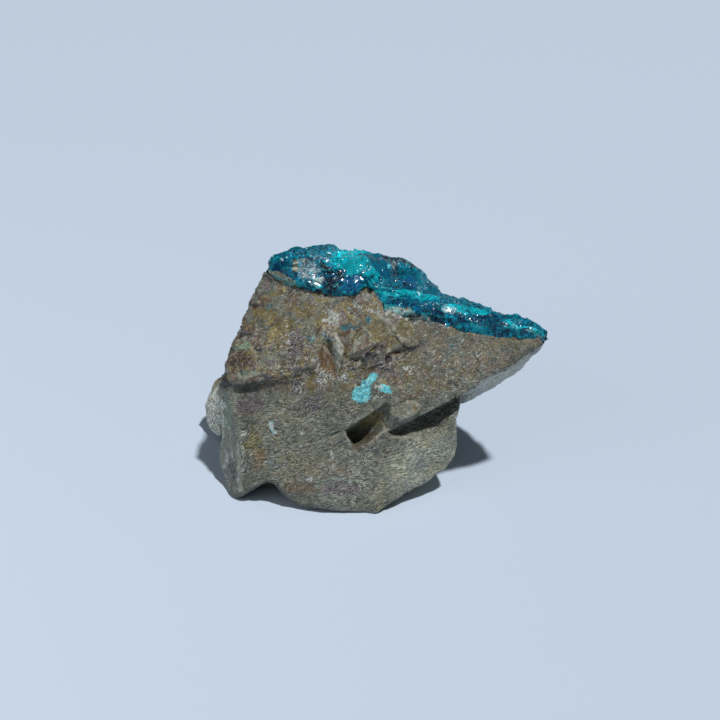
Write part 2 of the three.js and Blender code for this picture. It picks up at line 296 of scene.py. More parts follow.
class Surface:
    """A piece's vertices as arrays, for moving and painting them."""

    def __init__(self, piece):
        self.mesh = piece.data
        self.read()

    def read(self):
        """Reads the mesh's points and normals."""
        count = len(self.mesh.vertices)
        self.points = np.zeros(count * 3)
        self.mesh.vertices.foreach_get("co", self.points)
        self.points = self.points.reshape(-1, 3)
        self.normals = np.zeros(count * 3)
        self.mesh.vertices.foreach_get("normal", self.normals)
        self.normals = self.normals.reshape(-1, 3)

    def move(self, offsets):
        """Moves each vertex by its offset."""
        self.mesh.vertices.foreach_set("co", (self.points + offsets).ravel())
        self.mesh.update()
        self.read()

    def paint(self, name, values):
        """Stores one number for each vertex, which the material reads by that name."""
        layer = self.mesh.attributes.new(name, "FLOAT", "POINT")
        layer.data.foreach_set("value", values.astype(np.float32))

    def each(self, field):
        """A field's value at each vertex, from a function of a point in millimetres."""
        return np.array([field(Vector(p)) for p in self.points / MM])

    def relief(self, layers):
        """The sum of the fields at each vertex, each times its share."""
        return sum(self.each(field) * share for field, share in layers)

    def neighbour_mean(self, values):
        """Each vertex's mean of its neighbours' values."""
        edges = np.zeros(len(self.mesh.edges) * 2, dtype=np.int64)
        self.mesh.edges.foreach_get("vertices", edges)
        a, b = edges.reshape(-1, 2).T
        count = len(self.mesh.vertices)
        degree = np.bincount(a, minlength=count) + np.bincount(b, minlength=count)
        total = np.stack([
            np.bincount(a, column[b], count) + np.bincount(b, column[a], count)
            for column in values.T
        ], axis=1)
        return total / np.maximum(degree, 1)[:, None]

    def bulge(self):
        """How far each vertex stands out of its near surroundings, in millimetres."""
        mean = self.points
        for _ in range(3):
            mean = self.neighbour_mean(mean)
        return np.einsum("ij,ij->i", self.points - mean, self.normals) / MM

    def flatten(self, size, share, spare=()):
        """Draws the surface towards one plane in each cell about that many millimetres wide.

        The places under the daubs in spare are left as they are.
        """
        seeds = np.array([noise.voronoi(Vector(p) / size)[1][0] for p in self.points / MM])
        keys = np.column_stack([seeds.round(3), self.facing_out() > 0])
        cell = np.unique(keys, axis=0, return_inverse=True)[1].ravel()
        count = np.bincount(cell)[:, None]
        middle, normal = [
            np.stack([np.bincount(cell, column) for column in values.T], axis=1) / count
            for values in (self.points, self.normals)
        ]
        normal /= np.maximum(np.linalg.norm(normal, axis=1), 1e-6)[:, None]
        gap = np.einsum("ij,ij->i", middle[cell] - self.points, normal[cell])
        facing = smooth(np.einsum("ij,ij->i", normal[cell], self.normals), 0.3, 0.7)
        facing *= 1 - painted(self.place_on_face(), spare)
        self.move(normal[cell] * (gap * facing * share)[:, None])

    def stand_on_floor(self):
        """Raises what reaches below the floor to it."""
        offsets = np.zeros_like(self.points)
        offsets[:, 2] = np.maximum(-self.points[:, 2], 0)
        self.move(offsets)

    def facing_out(self):
        """The share of each normal that points out of the leaning face."""
        return self.normals @ np.array(FACE_OUT)

    def front(self):
        """1 where the surface looks out of the leaning face, 0 where it looks away."""
        return smooth(self.facing_out(), -0.15, 0.2)

    def proud(self):
        """How far each vertex stands out of the leaning face, in millimetres."""
        return (self.points - np.array(FACE_FOOT)) @ np.array(FACE_OUT) / MM

    def place_on_face(self):
        """Where each vertex shows on the leaning face, in millimetres across and up it."""
        rays = self.points - np.array(EYE)
        share = SIGHT_DISTANCE / -(rays @ np.array(FACE_OUT))
        hit = np.array(EYE) + rays * share[:, None] - np.array(FACE_FOOT)
        return np.stack([hit[:, 0], hit @ np.array(FACE_UP)], axis=1) / MM

    def ragged_place(self):
        """The same places shifted by noise, so that painted edges come out ragged."""
        noise.seed_set(EDGE_SEED)
        shift = self.each(
            lambda p: noise.noise_vector(p / 2.4) * 0.8 + noise.noise_vector(p / 0.9) * 0.45)
        return self.place_on_face() + shift[:, :2]


# --- Marks on the front -----------------------------------------------------------------
#
# A block is a list of corners: across, up and proud of the face. A daub is a row of across, up,
# length and width, then its turn in degrees and its strength where they aren't 0 and 1.

# Blocks of rock joined to the broken face.
SHARDS = {
    "crease_floor": [
        (-27.4, 24.6, -3.4), (-27.2, 21, -4.4), (-25, 24.2, -2.5), (-25, 20.6, -2.4),
        (-23, 22.6, -2.2), (-19, 23, -1.5), (-18, 21.4, -1.3), (-14, 24, -0.8), (-12, 23.6, -0.4),
        (-27, 24, -9), (-27, 21, -9), (-12, 24, -9), (-13, 21, -9), (-20, 20, -9),
    ],
    "left_foot": [
        (-27, 9, -7.3), (-27.1, 6, -7.5), (-26.8, 4.7, -7.5), (-25.7, 2.9, -4.8),
        (-25.1, 2.5, -4.2), (-23.2, 3.3, -2.8), (-23.8, 8, -2.1), (-24.8, 9, -4.5),
        (-25.5, 9, -9), (-25.5, 5.6, -9.5),
    ],
    "hollow_floor": [
        (-11.2, 32.6, 0.2), (-7.4, 33, 0.4), (-11, 24, 0.3), (-7, 29.6, 0), (-7, 25.4, 0.1),
        (-8, 22, 0.3), (-11, 32, -8), (-7, 32, -8), (-11, 23, -8), (-7, 23, -8),
    ],
    "pale_lip": [
        (-8.2, 31.7, 1.1), (-6.9, 32.1, 1.5), (-5.7, 29.8, 2.3), (-6, 26.9, 2.1),
        (-6.9, 24.8, 1.2), (-7.3, 28.4, 0.9), (-7.4, 30, -3), (-6.3, 28, -3), (-6.6, 26, -3),
    ],
    "beige_chip": [
        (-3.7, 31.4, 2.3), (-4.5, 28, 2.4), (-2.4, 28.9, 3), (0, 30.3, 2.7), (-0.6, 32.2, 1.8),
        (-2.4, 32, 1.7), (-2, 30, -2),
    ],
    "olive_panel": [
        (1.2, 34.6, 1.3), (4.2, 34.3, 1.3), (8.4, 33, 0.5), (9.8, 31, 1.05), (5.6, 29.3, 1.7),
        (3.7, 31.4, 2.1), (2.6, 33, 1.8), (4, 33, -3), (6, 31, -3),
    ],
    "ridge_below_seam": [
        (-4.8, 25.8, 1.3), (-2.8, 27, 1.5), (-0.7, 28.3, 1.7), (2.4, 28.8, 1.6), (1.4, 27, 1.5),
        (-2.2, 25.6, 1.2), (-4, 25, 0.9), (-1, 27, -2),
    ],
    "pocket_back": [
        (-6.3, 11.6, 0.1), (-6.3, 16.8, 0.6), (0.4, 20.4, 1.2), (2.8, 20, 1.6), (3, 14.2, 0.8),
        (0.2, 11.8, 0.6), (-6, 12, -9), (-6, 17, -9), (1, 20, -9), (3, 19, -9), (3, 14, -9),
    ],
    "chunk": [
        (2.4, 18.7, 2.5), (4.2, 19.9, 3.1), (7, 20.4, 3.2), (8.1, 19.2, 3), (6.4, 17.7, 3.5),
        (5.1, 17.2, 3.6), (3.3, 17.5, 3.3), (1.5, 15.4, 1.1), (3.4, 15.9, 1.6), (6.2, 16.7, 2.2),
        (5, 18, -2),
    ],
    "wing_root": [
        (11.4, 16.6, 0.6), (12.8, 15, 0), (13.8, 15.8, -0.8), (14, 18, 0.6), (14.9, 20, 1.2),
        (15.4, 21.4, 1.3), (13, 21.5, 1.3), (11.6, 19, 1), (12, 16, -8), (13.4, 17, -8),
        (14.4, 20, -8), (12.5, 20.5, -8),
    ],
}

# Where the blocks keep their own sharp facets.
CHISELLED = [(-1, 30, 24, 12), (0, 16, 14, 10), (6, 18, 10, 8)]

# Blocks broken out of the face.
CHIPS = {
    "green_strip": [
        (-5.7, 32.4, 4), (-3.9, 31.2, 4), (-4.3, 28, 4), (-4.8, 25.4, 4), (-6, 26.4, 4),
        (-5.3, 31.4, 0.4), (-5.3, 27, 0.5),
    ],
    "orange_triangle": [
        (-7.2, 32.2, 4), (-3.2, 32.7, 4), (-3.8, 30.8, 4), (-5.4, 29.6, 4), (-5, 31.6, 0),
    ],
    "olive_hollow": [
        (-1.4, 33.8, 4), (1, 34.6, 4), (3.4, 31.4, 4), (2.1, 30.3, 4), (-0.2, 30.4, 4),
        (0.8, 32.4, 0.6),
    ],
    "mustard_flat": [
        (-21.6, 36.6, 2), (-17.8, 36.6, 2), (-18.8, 33.8, 2), (-22, 33.4, 2), (-20, 35.4, -3.2),
    ],
    "chunk_crack": [
        (3.9, 20.3, 5), (5.2, 20.9, 5), (7.6, 21.7, 5), (7.5, 21, 5), (4.9, 20, 5), (4.5, 20.4, 1),
        (7, 21.2, 1),
    ],
    "chunk_side": [
        (6.5, 17.5, 5), (8.6, 18.2, 5), (9.4, 20.8, 5), (8.2, 20.6, 5), (7.8, 19.2, 1.6),
        (8.4, 19.8, 1.6),
    ],
    "pocket": [
        (-5.5, 15.1, 4), (2.3, 20, 4), (2.5, 19, 4), (1.8, 16.8, 4), (1, 14.8, 4),
        (-1, 13, 4), (-3.8, 11.6, 4), (-5.5, 15.1, 0.9), (2.3, 20, 2), (2.4, 19, 1.7),
        (1.7, 16.8, 1.2), (1, 14.9, 1), (-1, 13.1, 1), (-3.8, 11.7, 0.7), (-5, 13.9, -4.5),
        (-3.9, 12.4, -4.5), (-2.4, 13.8, -3.6), (-0.6, 15.4, -2), (0.8, 16.9, -0.4),
    ],
    "painted_bounce_light": [
        (0.9, 13.9, 5), (18, 22.8, 5), (19, 21.5, 5), (16, 17, 5), (12, 13.6, 5), (8, 12.8, 5),
        (2.4, 13.5, 5), (1, 14.2, 1), (4.1, 14, 0.9), (7.6, 14.2, -0.4), (10.4, 15.2, -0.9),
        (12, 17.5, 0.2), (15, 19.4, 0.6), (18.4, 22.6, 1), (5, 16, -0.6), (9, 18.2, -1.8),
        (12, 20, -1.8), (16, 22, -1),
    ],
    "foot_arch": [
        (-24.9, 2.2, 4), (-19.4, 5.9, 4), (-18, 5.9, 4), (-16.3, 3.4, 4), (-24.9, -3, 4),
        (-16.3, -3, 4), (-24.9, 2.2, -7), (-19.4, 5.9, -7), (-18, 5.9, -7), (-16.3, 3.4, -7),
        (-24.9, -3, -7), (-16.3, -3, -7),
    ],
    "foot_arch_right": [
        (-16.9, 3.8, 4), (-14.2, 2.1, 4), (-12.4, 1.3, 4), (-16.9, -3, 4), (-12.4, -3, 4),
        (-16.9, 3.8, -7), (-14.2, 2.1, -7), (-12.4, 1.3, -7), (-16.9, -3, -7), (-12.4, -3, -7),
    ],
    "under_edge": [
        (-13.4, 1.4, 4), (-9, 0.9, 4), (-1, 0.4, 4), (-13.4, -3, 4), (-1, -3, 4),
        (-13.4, -1.2, -4), (-1, -1.6, -3), (-13.4, -3, -4), (-1, -3, -3),
    ],
}

# Smooth facets among the broken grain.
EVEN = [
    (-19.6, 35.6, 4.6, 3.4), (-17, 37.4, 8, 3.4, -15, 0.8), (-13.4, 34.6, 3.4, 3, 0, 0.8),
    (1, 32.6, 3.6, 3.8), (5.8, 32.2, 5.4, 3), (-5.3, 31.9, 3, 1.4), (-5, 28.8, 1.4, 4),
    (-7, 29.3, 2.2, 4, 20, 0.8), (-11.4, 22.8, 1.8, 4.4), (-8.7, 27.2, 2.2, 5, 20),
    (-22.6, 24.8, 4.6, 1.4), (-22.2, 19.4, 6.4, 6, 0, 0.9), (-18.4, 27.8, 3.4, 2.6, 0, 0.8),
    (-10, 35.8, 2.4, 2.4, 0, 0.7), (-2, 30, 2.6, 2.6, 0, 0.6), (4.6, 18.8, 5, 3, 0, 0.6),
]

# Iron, manganese and copper stains on the rock, painted shade in the crease, in cracks and under
# ledges, chalky places that are partly painted light, and how thick its pale, teal and dark flecks
# are.
ROCK_PAINT = {
    "olive": [
        (-19.4, 35.5, 4, 3), (-16, 33.2, 6, 3.4), (-11.6, 36, 4, 3),
        (0, 31.9, 4, 4.4), (4.6, 32, 6, 5), (-5, 28.4, 1.6, 3.4),
        (-20.8, 12.4, 5, 7, 0, 0.7), (9, 23, 18, 8, 25, 0.35),
        (-8, 30, 30, 14, 0, 0.5), (-11.4, 22.8, 1.8, 4, 0, 0.9),
        (6.4, 18.4, 4, 4, 0, 0.6), (-0.6, 17, 6, 2.6, 33, 0.9),
    ],
    "rust": [
        (-13.3, 36, 1.6, 1.6, 0, 0.7), (-9.4, 32.6, 1.2, 1.4), (-23.4, 27, 6.4, 3.4, 0, 0.9),
        (-13.4, 5, 7.4, 3.4, -12, 0.72), (6.4, 21.4, 4, 1.1, 22, 1.2),
        (-1.6, 13.2, 8, 2.2, 30, 0.75), (-20.5, 9.4, 3, 6, -15, 0.7),
        (2, 27, 6, 3, 10, 0.55), (-8, 8, 12, 4, 0, 0.55), (6, 34, 8, 3, -8, 0.5),
        (-16, 30, 10, 8, 0, 0.4), (-14, 22, 2.6, 2.6, 0, 0.6), (-0.5, 25.3, 1.4, 0.9),
        (-1.5, 29.3, 9, 0.8, 14, 1.2), (-9.6, 23.4, 5, 4, 0, 0.5),
    ],
    "orange": [
        (-8.6, 27.2, 2.7, 5.8, 20, 1.6), (-5.3, 31.9, 3, 1.4, 5, 1.1),
        (-9.6, 32.8, 1, 1.2, 0, 0.8), (-4.9, 28.6, 1.2, 4, 0, 0.6),
    ],
    "purple": [
        (-22.8, 32.1, 2.6, 1.4, 0, 0.9), (-14, 29.4, 3.4, 5.4, 0, 0.85),
        (6.6, 29.2, 2.1, 1.5, 0, 0.9), (1.6, 27, 5.4, 2.6, 0, 0.8),
        (-22, 19.6, 6.6, 4.6, 30, 0.8), (-6, 4.8, 7.5, 2.8, 0, 0.75),
        (-12, 19, 9, 3.6, 10, 0.68), (-13.6, 22.4, 3.4, 4, 0, 0.7),
        (-22.4, 17, 4, 4, 0, 0.5), (-24.4, 33.6, 3, 6, -20, 0.45),
        (-11.4, 35.6, 3, 2, 0, 0.6), (-18, 23, 7, 1.6, 10, 0.6),
    ],
    # Painted shade: darker along the crease, in cracks, under ledges and below the chunk.
    "painted_shade": [
        (-23.4, 22.6, 4.6, 1, 8, 0.85), (-26.3, 23.2, 2, 2.4, -20, 1),
        (-16.2, 25.4, 6.4, 0.5, 2, 0.85), (-17.4, 24, 8, 0.5, 3, 0.8),
        (-9.4, 29.4, 1.4, 1.8, 0, 0.7), (-5.1, 33, 4.8, 1.2, 8, 0.75),
        (-6.1, 27, 0.8, 0.9, 0, 1.1), (-1.3, 28, 6.8, 0.7, 24, 0.75),
        (6.1, 29.5, 3, 1, 10, 0.8), (5.7, 20.5, 3.8, 0.5, 20, 1.3),
        (3.6, 16.2, 4.6, 1.2, 12, 0.6), (8.2, 19, 1.4, 3.6, -30, 0.5),
        (-25.2, 8, 0.8, 9, 0, 0.6), (-11.6, 23.4, 1, 4, -10, 0.5), (-13, 19.6, 6, 1.6, 10, 0.5),
        (-6.8, 31.9, 1.6, 1, 20, 0.7), (-23.6, 31.6, 5, 0.8, 0, 0.8),
        (-4.4, 25.4, 2, 0.8, 20, 0.8), (4.4, 28.4, 4, 0.7, -10, 0.7),
        (-20.2, 28.9, 2.4, 1.4, 0, 0.8),
    ],
    # Chalky places; the lit lobe and the lit right side strip are painted pale as painted light.
    "chalk_and_painted_light": [
        (-22.8, 25, 4.4, 1, 0, 0.7), (-29.5, 17, 7, 16, 0, 0.85), (-26.4, 13, 4, 14, 0, 0.45),
        (-24, 8, 0.9, 10, 0, 0.9), (-23.2, 9, 1.2, 8, 0, 0.55), (14, 17, 2, 8, 0, 0.6),
        (5.4, 17.6, 3.4, 2.6, 0, 0.5), (-2.4, 30, 3, 3, 0, 0.5), (-6.6, 29, 2, 5, 10, 0.9),
        (6, 31.4, 6, 3, -10, 0.35), (-7.6, 34.6, 2.6, 3.2, 0, 0.7), (-1.2, 37.4, 3, 4, 0, 0.6),
    ],
    "green": [
        (-23.4, 29.4, 3, 1.5, 5, 0.9), (-26, 17.6, 1.6, 7, 0, 0.8), (-17.6, 27, 2, 2, 0, 0.4),
        (-22.6, 24.8, 4.6, 1.3, 0, 0.75), (0.7, 22.6, 1, 0.5),
        (-18, 27.6, 2.4, 2, 0, 0.6),
    ],
    "turquoise": [
        (-0.9, 23.9, 2, 1.8, 20, 1.4), (-1.9, 22.6, 3.4, 2.5, 65, 1.5),
        (-2.7, 21.2, 3.8, 3.1, 0, 1.4),
        (1.9, 22, 2.4, 1.6, 0, 1.4), (-18.2, 15.6, 0.6, 3, 8, 0.8),
        (-11.4, 31.1, 1, 1, 0, 0.7),
    ],
    "pale": [
        (-18.2, 15.6, 0.5, 2.8, 8, 1.8), (0.8, 22.3, 1.4, 0.6, 0, 1.6),
        (-15, 28, 24, 10, 0, 0.3), (-8.5, 38, 3, 2, 0, 0.5),
        (-7.6, 34.3, 3, 3.8, 0, 0.9), (-9, 35.2, 1.2, 2.4, 0, 0.5),
        (4.6, 35.4, 10, 2.4, -12, 1), (-8.9, 24.6, 3.4, 4.4, 0, 0.75),
        (-10.4, 26.4, 1.2, 6, 15, 0.7),
        (5.7, 25.8, 3.2, 1.8, -10, 0.8), (1.8, 27.2, 5, 2.4, 0, 0.6),
        (-6.8, 30.2, 2, 3.6, 20, 0.6), (-22.2, 30.8, 1.6, 0.7, -30, 0.9),
        (14, 33.6, 18, 1.2, -11, 1),
        (-11.6, 6.3, 2.4, 1.2, 10, 0.75), (0.8, 20.6, 4, 1, 15, 0.6),
        (-23.6, 14.3, 2, 2, 0, 0.75), (-9.7, 23.1, 2.4, 3, 0, 0.6),
        (-13.4, 22.2, 3.4, 3.4, 0, 0.6), (-14.8, 30.4, 4, 6, 0, 0.5), (-9.6, 27, 1, 6, 25, 0.7),
        (-13.2, 14.6, 0.6, 1.4, -30, 1), (-8, 10.6, 1, 1.4, 0, 0.7), (-17.4, 9, 4, 5, 0, 0.4),
        (-6, 24.2, 2.4, 1.8, 0, 0.9), (0, 30, 44, 20, 0, 0.2), (12, 25.5, 22, 12, 20, 0.3),
        (-4, 12, 44, 24, 0, 0.13),
        (-12.6, 38.4, 12, 2.4, -14, 0.3), (-3, 36.6, 5, 4, 0, 0.4),
    ],
    "teal": [
        (-18.5, 36.9, 1.2, 0.8, 0, 1.2), (-11.8, 30.8, 1.8, 1.8, 0, 0.8),
        (-8.4, 31.2, 2.6, 2, 0, 1.1), (-5.1, 32.9, 4.6, 1.5, 8, 1),
        (-1.1, 34.3, 1.9, 1.2, 0, 1.4), (13, 29.8, 0.9, 0.9, 0, 1.2),
        (-6, 24.2, 2.4, 1.8, 0, 0.6), (6.4, 22.8, 1.6, 0.8, 0, 0.7),
        (4.6, 35.2, 10, 2, -12, 0.6), (5.2, 34.9, 1.2, 1, 0, 1.5),
        (-12.6, 39, 12, 2, -14, 0.5), (14, 33.4, 18, 1, -11, 0.5),
    ],
    "dark": [
        (-26.2, 23.6, 2.6, 3.4, -25, 1.1), (-20.2, 29.2, 3, 1.8, 0, 1.1),
        (-25.8, 28.8, 1.3, 1.8, 0, 1.2), (-1.2, 28.1, 7, 1.1, 25, 1.5),
        (-14.8, 25.4, 6.6, 0.8, 5, 0.9), (-23.4, 27, 6.4, 3, 0, 1.05), (-14, 28.6, 4, 5, 0, 0.85),
        (4.4, 28.9, 1.4, 0.9, 0, 1.4), (-14, 18.6, 6, 2.6, 12, 0.5),
        (-14.4, 30, 2.2, 1.4, 0, 1), (1.6, 27, 5.4, 2.6, 0, 1), (-14, 23, 3.4, 3.8, 0, 0.9),
        (-6.3, 27, 0.8, 0.8, 0, 1.6), (0, 28, 44, 16, 0, 0.3), (12, 25, 22, 12, 20, 0.42),
        (2, 30, 16, 9, 0, 0.5), (-15, 29, 24, 14, 0, 0.5),
        (-4, 12, 44, 24, 0, 0.1),
    ],
}

# Blue, bright and deep bands of the crust, the stains in it, and its druse. Under the navy bulge,
# the deep and black paint is partly painted shade.
CRUST_PAINT = {
    "blue": [
        (-4.2, 40.9, 4, 3.4, 0, 1.1), (1.6, 42.6, 2.4, 2.4, 0, 0.8), (5.8, 41, 2.4, 3.4, 0, 0.7),
        (10.5, 40, 3, 4, 30, 0.5), (6, 37, 10, 1.6, -6, 0.9), (20, 34.2, 7, 2, -14, 0.8),
    ],
    "bright": [
        (-4.6, 44.8, 7, 5, -15, 1.2), (-0.5, 42.3, 2.4, 2.6, 0, 1.1),
        (-10.4, 40.2, 2.4, 1.2, 0, 1.1), (5.4, 38.8, 11.6, 1.2, -8, 1.2),
        (8.5, 41.6, 3.4, 3.4, 0, 0.5), (16, 36.2, 10, 1.2, -12), (25, 33.2, 8, 1, -18),
        (-18, 45.4, 3, 1.2, 40, 0.7), (2, 44.6, 4, 1.4, -10, 0.5),
    ],
    "deep": [
        (-16.6, 43.6, 3.2, 3, 0, 0.75), (-7.9, 41.6, 4.8, 5.2, 0, 0.9),
        (6, 37.1, 10.5, 1.2, -6, 0.8), (10.3, 35.6, 3.6, 1.6, 0, 0.9),
        (20.3, 34.1, 6.4, 1.8, -14, 0.9), (15, 35, 5, 1.2, -10, 0.8),
        (26, 32.4, 4, 1.2, -14, 0.8), (-12, 46.6, 6, 1, 5, 0.6),
    ],
    "brown": [
        (4.4, 44.6, 8, 1.2, -14), (3.2, 43.4, 2, 3.2, 10, 0.75), (9.6, 41.4, 0.8, 3, 20, 0.6),
    ],
    "black": [
        (-7.4, 40.4, 2.8, 2.6, 0, 1.2), (-9, 43, 1.8, 2.4), (-12, 44.8, 3, 1.6, 0, 0.7),
        (-6.6, 42.4, 1.2, 1.8),
        (3.6, 43, 1.6, 3.4, 10, 0.6), (5.4, 40.6, 1.6, 3, 10, 0.6),
    ],
    "beige": [
        (-14.3, 43.8, 1.6, 2.4, 0, 1.1), (-12.4, 42.4, 2.2, 2.6, 0, 0.6),
        (-12.8, 45, 2, 1, 0, 0.7), (-16.6, 41.5, 6.4, 2, -25, 1.7),
        (4.6, 35.2, 10, 2.6, -14, 1.6), (28, 31.6, 4, 1, -24, 0.7),
    ],
    "lilac": [
        (-11.8, 43.2, 4.6, 4, 0, 0.75), (-10, 40.8, 3, 1.6, 0, 0.9),
        (-9.6, 45.4, 3.4, 1.4, 0, 0.6),
        (3, 44.4, 8, 1.2, -14, 0.6), (4.8, 35.6, 9, 1.6, -14, 0.5),
    ],
    "druse": [
        (-12.2, 43, 5.4, 5.4, 0, 0.6), (-10.4, 40.9, 2, 2.2, 0, 1.5), (12.8, 36.2, 2.4, 2.2),
        (-9.2, 44.6, 3, 2.6, 0, 0.5), (7.8, 39.4, 1.4, 2.4, 30, 0.6),
        (4.4, 35.7, 9, 1.6, -14, 0.9), (-3.3, 41.4, 1.4, 1.3, 0, 0.9),
        (-8, 46, 14, 2.4, 0, 0.5), (-2, 42, 6, 5, 0, 0.16), (14, 36, 34, 6, -16, 0.16),
        (-7, 41, 4, 4, 0, 0.35),
    ],
}

# The rock's usual tone, and where it is lighter or darker: partly its own tone, and partly painted
# light and shade, as the lit left strip painted lighter and painted shade along the crease and
# below the chunk.
USUAL_TONE = 0.82
TONES_AND_PAINTED_LIGHT = [
    (10, 8, 15, 13, 0, 1.15), (-2, 6, 18, 10, 0, 0.42), (-14, 12, 16, 16, 0, 0.2),
    (4.8, 18.8, 5.6, 3.2, 10, 0.35), (-22, 22.8, 9, 1.8, 8, -0.45), (-0.5, 26.2, 10, 4, 12, -0.3),
    (1, 31.6, 16, 6, 5, -0.09), (6.8, 25.2, 7, 4.6, 0, -0.08), (20, 30.4, 9, 3.4, -12, -0.06),
    (-1, 16.6, 7, 3, 33, 0.2),
    (-5, 29.2, 1.8, 4.8, 0, -0.2), (-5.3, 32.2, 3.4, 1.4, 0, -0.15),
    (-27.5, 12, 7, 26, 0, 0.78), (12, 25, 14, 9, 20, 0.1), (6, 15, 10, 1.6, 20, -0.2),
]

# Where the crust is smooth glass.
GLASSY = [
    (-2.2, 43.4, 7.5, 8), (8.4, 41.4, 7.5, 7), (-16.8, 43.4, 3.6, 3.8), (0.8, 41, 5, 4),
    (20, 34.4, 15, 2.4, -14, 0.7), (10, 37.2, 14, 1.6, -8, 0.75),
]

# Where the crust swells, and how high.
SWELLS = [
    ((-7, 46.6, 4, 3), 0.6), ((-8.6, 45, 2.6, 2.2), 0.5), ((-2.2, 43.6, 4.6, 4), 0.4),
    ((-1, 43.2, 5.8, 0.8, -58), 0.4), ((4, 39.4, 12, 0.7, -9), 0.35),
]

# Crystal faces that stand square between the camera and the key light.
GLINTS = [
    (-16.4, 44.9, 1.4, 0.9, -40), (-14.6, 46.3, 0.8, 0.6, 0), (-12.1, 46.8, 0.8, 0.6, 30),
    (-10, 47.1, 1, 0.6, -20), (-8.4, 46.2, 1.8, 0.9, -35), (-8.6, 44.8, 1.5, 1.3, 0),
    (-9.9, 44.8, 1.3, 0.6, 70), (-11.5, 45.6, 0.7, 0.6, 0), (-13.7, 45.1, 0.8, 0.6, 40),
    (-10.9, 41.8, 1.5, 0.8, 60), (-10.2, 40.6, 1.6, 0.8, -20), (-11.6, 41, 1, 0.5, 10),
    (-7.6, 42.4, 1.1, 0.6, -50), (-9.2, 42.6, 0.7, 0.6, 30), (-5.8, 41.4, 0.9, 0.5, 80),
    (-4, 44.8, 1.7, 0.9, -45), (-4.6, 46, 0.7, 0.5, 0), (-2.5, 41.6, 1.3, 0.8, -60),
    (-3.5, 41.1, 1.2, 0.6, 45), (1.1, 44.4, 0.7, 0.6, 20), (7.5, 39, 1.4, 0.7, -60),
    (9.1, 40.9, 0.8, 0.5, -50), (11.6, 37.2, 0.9, 0.6, -20), (12.7, 36, 1.2, 0.9, 0),
    (13.6, 36.9, 0.9, 0.6, -30), (16.5, 37.1, 0.9, 0.6, -20), (20, 35.2, 1, 0.6, -20),
    (24.2, 33.4, 1, 0.6, -20), (25.2, 33.9, 0.8, 0.6, 40), (27.1, 32.9, 0.8, 0.6, -30),
]

# Sharp edges painted pale, worn and on these lit ridges also a painted highlight: points across
# and up the face, width, and strength.
WORN_AND_HIGHLIGHTED_EDGES = [
    ([(0.6, 35.4), (1.8, 33.5), (2.8, 31.9), (5.7, 30.7)], 0.34, 0.15),
    ([(-7.2, 31.5), (-5.7, 29.4), (-6.4, 26.9)], 0.32, 0.2),
    ([(-9.1, 29.6), (-7.5, 27.7), (-7.1, 26.4)], 0.3, 0.15),
    ([(-4.4, 28.2), (-3.9, 29.6), (-3.5, 30.9)], 0.36, 0.18),
    ([(-4.6, 27.7), (-1, 29.7), (1.4, 30.3)], 0.3, 0.08),
    ([(-24.2, 12.4), (-24, 9), (-23.6, 4.4)], 0.5, 0.14),
    ([(-25.2, 24.6), (-22.6, 24.3), (-20.6, 25)], 0.5, 0.08),
    ([(3, 16.4), (1.8, 14.6)], 0.36, 0.1),
    ([(0.4, 20.4), (3, 19.6)], 0.36, 0.1),
]

# Cracks and grooves: points across and up the face, width, and depth.
GROOVES = [
    ([(-18.8, 25.1), (-16, 25.6), (-13, 25.2)], 0.5, 0.3),
    ([(-20.4, 24.2), (-15.4, 24.1), (-13.4, 24.4)], 0.45, 0.25),
    ([(-11.6, 12.7), (-6.3, 14.7)], 0.4, 0.3),
    ([(-24.3, 9), (-23.8, 10.8)], 0.6, 0.5),
    ([(-4.8, 26.2), (-2.8, 27.8), (-0.7, 29), (2.1, 29.6)], 0.45, 0.2),
    ([(4.2, 28.4), (6.2, 28.8), (7.7, 29.6)], 0.6, 0.25),
    ([(-21.7, 36.7), (-18.4, 36.9)], 0.5, 0.25),
    ([(-17.4, 19.2), (-15, 18.4), (-12.8, 18.6)], 0.4, 0.3),
    ([(-16.4, 17.6), (-13, 17.2)], 0.4, 0.25),
    ([(-6.4, 27), (-6.1, 26.6)], 0.6, 0.8),
    ([(3.5, 28.7), (4.2, 28.7)], 0.5, 0.5),
]


# --- Meshes -----------------------------------------------------------------------------


def deselect_all():
    bpy.ops.object.select_all(action="DESELECT")


def make_active(piece):
    deselect_all()
    piece.select_set(True)
    bpy.context.view_layer.objects.active = piece


def merged_copy(node, name):
    """A copy of a CAD node with its loose triangles merged."""
    source = frame["nodes"][node]
    make_active(source)
    bpy.ops.object.duplicate()
    piece = bpy.context.object
    piece.name = piece.data.name = name
    piece.parent = None
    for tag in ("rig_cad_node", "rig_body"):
        del piece[tag]
    bpy.ops.object.mode_set(mode="EDIT")
    bpy.ops.mesh.select_all(action="SELECT")
    bpy.ops.mesh.remove_doubles(threshold=0.001 * MM)
    bpy.ops.mesh.normals_make_consistent(inside=False)
    bpy.ops.object.mode_set(mode="OBJECT")
    return piece


def remesh(piece, size):
    """Gives the piece an even mesh of that size."""
    make_active(piece)
    modifier = piece.modifiers.new("Remesh", "REMESH")
    modifier.mode = "VOXEL"
    modifier.voxel_size = size
    modifier.adaptivity = 0
    bpy.ops.object.modifier_apply(modifier=modifier.name)


def hull(name, corners):
    """A closed convex block between corners given across, up and proud of the face."""
    mesh = bpy.data.meshes.new(name)
    mesh.from_pydata([on_face(*corner) for corner in corners], [], [])
    block = bpy.data.objects.new(name, mesh)
    bpy.context.collection.objects.link(block)
    make_active(block)
    bpy.ops.object.mode_set(mode="EDIT")
    bpy.ops.mesh.select_all(action="SELECT")
    bpy.ops.mesh.convex_hull()
    bpy.ops.mesh.normals_make_consistent(inside=False)
    bpy.ops.object.mode_set(mode="OBJECT")
    return block


